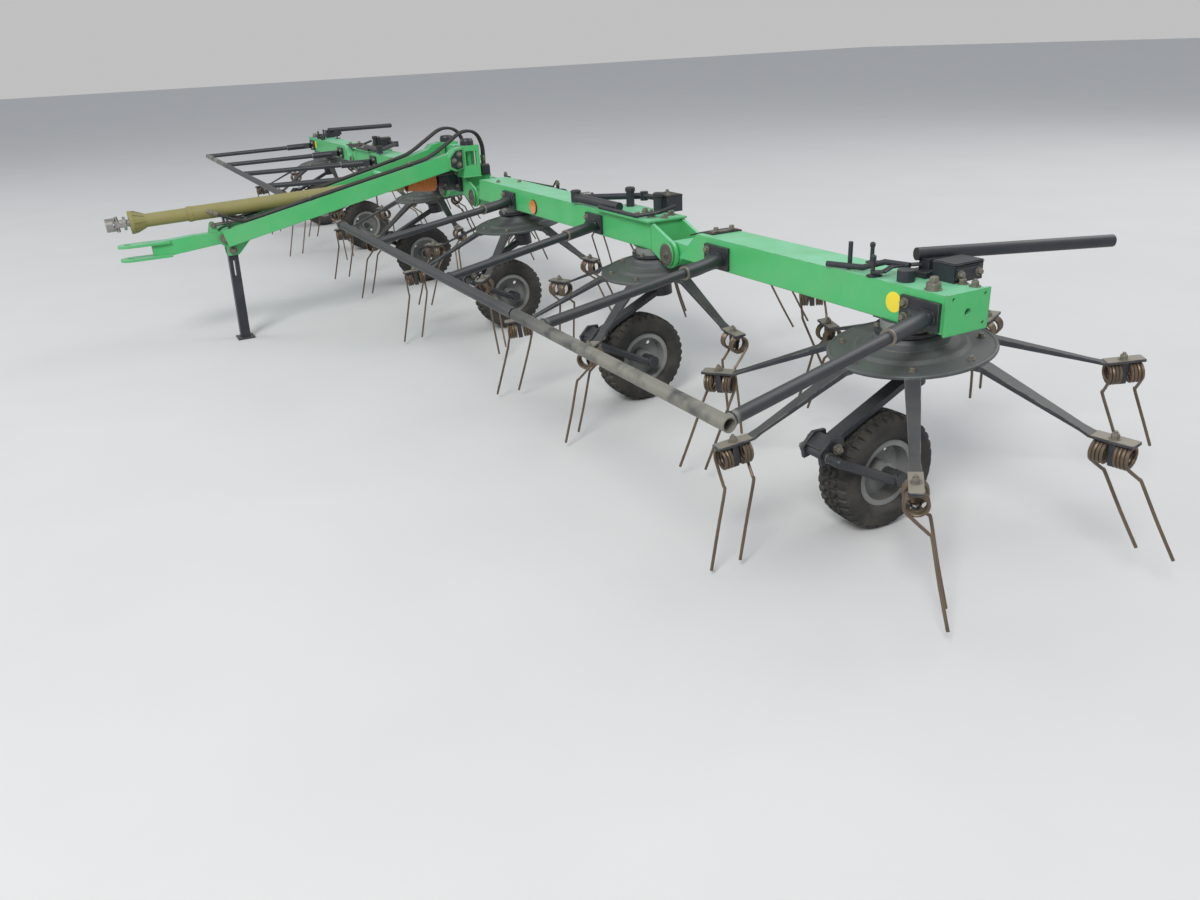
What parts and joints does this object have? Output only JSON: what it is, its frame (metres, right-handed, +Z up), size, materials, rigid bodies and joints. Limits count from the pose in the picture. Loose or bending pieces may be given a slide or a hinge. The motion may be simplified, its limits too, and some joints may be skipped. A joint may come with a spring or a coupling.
{
  "type": "hay tedder",
  "caption": "A towed hay tedder with tined rotors on a long hinged beam, a wheel under each rotor, a drawbar with a shielded drive shaft and a parking leg.",
  "frame": {"origin": "on the ground under the middle of the machine's overall box, halfway along its length and on its centre line", "axes": "+X points forwards, towards the towing end; +Y points to the machine's left, along the beam; +Z is up"},
  "size_m": [2.8134, 8.6248, 1.0138],
  "materials": {
    "green_paint": "semi-gloss, dusty",
    "dark_frame": "satin",
    "grey_rotor": "satin, worn",
    "spring_wire": "satin, rusty",
    "rim_paint": "satin, dusty",
    "tyre_rubber": "dusty",
    "black_rubber": "matte",
    "guard_plastic": "matte",
    "cone_plastic": "matte",
    "bare_steel": "worn",
    "guard_tube": "satin, worn"
  },
  "bodies": {
    "root": {"centre_frame": "green_paint", "tower_caps": "dark_frame", "drawbar": "green_paint", "gearbox": "dark_frame", "gearbox_cone": "cone_plastic", "pto_guard": "guard_plastic", "counter_springs": "dark_frame", "hoses": "black_rubber"},
    "pto_shaft": {"pto_shaft": "bare_steel"},
    "tongue": {"tongue": "green_paint"},
    "strut_barrel": {"strut_barrel": "dark_frame"},
    "strut_rod": {"strut_rod": "bare_steel"},
    "parking_leg": {"parking_leg": "dark_frame"},
    "inner_l": {"inner_beam_l": "green_paint", "inner_guard_l": "guard_tube", "inner_mounts_l": "dark_frame", "stop_frame_l": "dark_frame"},
    "outer_l": {"outer_beam_l": "green_paint", "outer_guard_l": "guard_tube", "outer_mount_l": "dark_frame", "end_bar_l": "dark_frame", "hinge_cover_l": "black_rubber"},
    "lift_barrel_l": {"lift_barrel_l": "dark_frame"},
    "lift_rod_l": {"lift_rod_l": "bare_steel"},
    "rotor_l1": {"rotor_l1": "grey_rotor", "tines_l1": "spring_wire"},
    "wheel_l1": {"rim_l1": "rim_paint", "tyre_l1": "tyre_rubber"},
    "rotor_l2": {"rotor_l2": "grey_rotor", "tines_l2": "spring_wire"},
    "wheel_l2": {"rim_l2": "rim_paint", "tyre_l2": "tyre_rubber"},
    "rotor_l3": {"rotor_l3": "grey_rotor", "tines_l3": "spring_wire"},
    "wheel_l3": {"rim_l3": "rim_paint", "tyre_l3": "tyre_rubber"},
    "inner_r": {"inner_beam_r": "green_paint", "inner_guard_r": "guard_tube", "inner_mounts_r": "dark_frame", "stop_frame_r": "dark_frame"},
    "outer_r": {"outer_beam_r": "green_paint", "outer_guard_r": "guard_tube", "outer_mount_r": "dark_frame", "end_bar_r": "dark_frame", "hinge_cover_r": "black_rubber"},
    "lift_barrel_r": {"lift_barrel_r": "dark_frame"},
    "lift_rod_r": {"lift_rod_r": "bare_steel"},
    "rotor_r1": {"rotor_r1": "grey_rotor", "tines_r1": "spring_wire"},
    "wheel_r1": {"rim_r1": "rim_paint", "tyre_r1": "tyre_rubber"},
    "rotor_r2": {"rotor_r2": "grey_rotor", "tines_r2": "spring_wire"},
    "wheel_r2": {"rim_r2": "rim_paint", "tyre_r2": "tyre_rubber"},
    "rotor_r3": {"rotor_r3": "grey_rotor", "tines_r3": "spring_wire"},
    "wheel_r3": {"rim_r3": "rim_paint", "tyre_r3": "tyre_rubber"}
  },
  "joints": [
    {"name": "inner_fold_l", "type": "hinge", "parent": "root", "child": "inner_l", "pos_m": [-0.57911, 0.25, 0.65], "axis": [1, 0, 0], "range_deg": [-3, 55]},
    {"name": "outer_fold_l", "type": "hinge", "parent": "inner_l", "child": "outer_l", "pos_m": [-0.57911, 2.331, 0.65], "axis": [1, 0, 0], "range_deg": [-5, 90]},
    {"name": "lift_swing_l", "type": "hinge", "parent": "root", "child": "lift_barrel_l", "pos_m": [-0.70411, 0.205, 0.705], "axis": [1, 0, 0], "range_deg": [-3, 55]},
    {"name": "lift_slide_l", "type": "slide", "parent": "lift_barrel_l", "child": "lift_rod_l", "axis": [0, 0.9998, 0.0191], "range_m": [-0.066, 0.005]},
    {"name": "inner_fold_r", "type": "hinge", "parent": "root", "child": "inner_r", "pos_m": [-0.57911, -0.25, 0.65], "axis": [-1, 0, 0], "range_deg": [-3, 55]},
    {"name": "outer_fold_r", "type": "hinge", "parent": "inner_r", "child": "outer_r", "pos_m": [-0.57911, -2.331, 0.65], "axis": [-1, 0, 0], "range_deg": [-5, 90]},
    {"name": "lift_swing_r", "type": "hinge", "parent": "root", "child": "lift_barrel_r", "pos_m": [-0.70411, -0.205, 0.705], "axis": [-1, 0, 0], "range_deg": [-3, 55]},
    {"name": "lift_slide_r", "type": "slide", "parent": "lift_barrel_r", "child": "lift_rod_r", "axis": [0, -0.9998, 0.0191], "range_m": [-0.066, 0.005]},
    {"name": "tongue_pitch", "type": "hinge", "parent": "root", "child": "tongue", "pos_m": [0.85789, 0, 0.565], "axis": [0, -1, 0], "range_deg": [-4, 4]},
    {"name": "strut_swing", "type": "hinge", "parent": "root", "child": "strut_barrel", "pos_m": [0.63189, 0, 0.64], "axis": [0, -1, 0], "range_deg": [-1, 1]},
    {"name": "strut_slide", "type": "slide", "parent": "strut_barrel", "child": "strut_rod", "axis": [0.9996, 0, -0.0297], "range_m": [-0.006, 0.006]},
    {"name": "leg_swing", "type": "hinge", "parent": "root", "child": "parking_leg", "pos_m": [0.82789, 0, 0.495], "axis": [0, 1, 0], "range_deg": [0, 88]},
    {"name": "rotor_spin_l1", "type": "hinge", "parent": "inner_l", "child": "rotor_l1", "pos_m": [-0.57911, 0.71, 0.552], "axis": [0.1045, 0, 0.9945], "continuous": true},
    {"name": "wheel_spin_l1", "type": "hinge", "parent": "inner_l", "child": "wheel_l1", "pos_m": [-0.47211, 0.71, 0.185], "axis": [0, 1, 0], "continuous": true},
    {"name": "rotor_spin_l2", "type": "hinge", "parent": "inner_l", "child": "rotor_l2", "pos_m": [-0.57911, 2.13, 0.552], "axis": [0.1045, 0, 0.9945], "continuous": true},
    {"name": "wheel_spin_l2", "type": "hinge", "parent": "inner_l", "child": "wheel_l2", "pos_m": [-0.47211, 2.13, 0.185], "axis": [0, 1, 0], "continuous": true},
    {"name": "rotor_spin_l3", "type": "hinge", "parent": "outer_l", "child": "rotor_l3", "pos_m": [-0.57911, 3.55, 0.552], "axis": [0.1045, 0, 0.9945], "continuous": true},
    {"name": "wheel_spin_l3", "type": "hinge", "parent": "outer_l", "child": "wheel_l3", "pos_m": [-0.47211, 3.55, 0.185], "axis": [0, 1, 0], "continuous": true},
    {"name": "rotor_spin_r1", "type": "hinge", "parent": "inner_r", "child": "rotor_r1", "pos_m": [-0.57911, -0.71, 0.552], "axis": [0.1045, 0, 0.9945], "continuous": true},
    {"name": "wheel_spin_r1", "type": "hinge", "parent": "inner_r", "child": "wheel_r1", "pos_m": [-0.47211, -0.71, 0.185], "axis": [0, 1, 0], "continuous": true},
    {"name": "rotor_spin_r2", "type": "hinge", "parent": "inner_r", "child": "rotor_r2", "pos_m": [-0.57911, -2.13, 0.552], "axis": [0.1045, 0, 0.9945], "continuous": true},
    {"name": "wheel_spin_r2", "type": "hinge", "parent": "inner_r", "child": "wheel_r2", "pos_m": [-0.47211, -2.13, 0.185], "axis": [0, 1, 0], "continuous": true},
    {"name": "rotor_spin_r3", "type": "hinge", "parent": "outer_r", "child": "rotor_r3", "pos_m": [-0.57911, -3.55, 0.552], "axis": [0.1045, 0, 0.9945], "continuous": true},
    {"name": "wheel_spin_r3", "type": "hinge", "parent": "outer_r", "child": "wheel_r3", "pos_m": [-0.47211, -3.55, 0.185], "axis": [0, 1, 0], "continuous": true},
    {"name": "pto_spin", "type": "hinge", "parent": "root", "child": "pto_shaft", "pos_m": [-0.41211, 0, 0.746], "axis": [0.9995, 0, -0.0313], "continuous": true}
  ],
  "couplings": [
    {"joint": "rotor_spin_l2", "follows": "rotor_spin_l1", "ratio": -1},
    {"joint": "rotor_spin_l3", "follows": "rotor_spin_l1", "ratio": 1},
    {"joint": "rotor_spin_r1", "follows": "rotor_spin_l1", "ratio": -1},
    {"joint": "rotor_spin_r2", "follows": "rotor_spin_l1", "ratio": 1},
    {"joint": "rotor_spin_r3", "follows": "rotor_spin_l1", "ratio": -1},
    {"joint": "pto_spin", "follows": "rotor_spin_l1", "ratio": 3},
    {"joint": "strut_swing", "follows": "tongue_pitch", "ratio": 0.1522},
    {"joint": "strut_slide", "follows": "tongue_pitch", "m_per_rad": -0.0682},
    {"joint": "lift_swing_l", "follows": "inner_fold_l", "ratio": 0.9816},
    {"joint": "lift_slide_l", "follows": "inner_fold_l", "m_per_rad": -0.0659},
    {"joint": "lift_swing_r", "follows": "inner_fold_r", "ratio": 0.9816},
    {"joint": "lift_slide_r", "follows": "inner_fold_r", "m_per_rad": -0.0659}
  ]
}
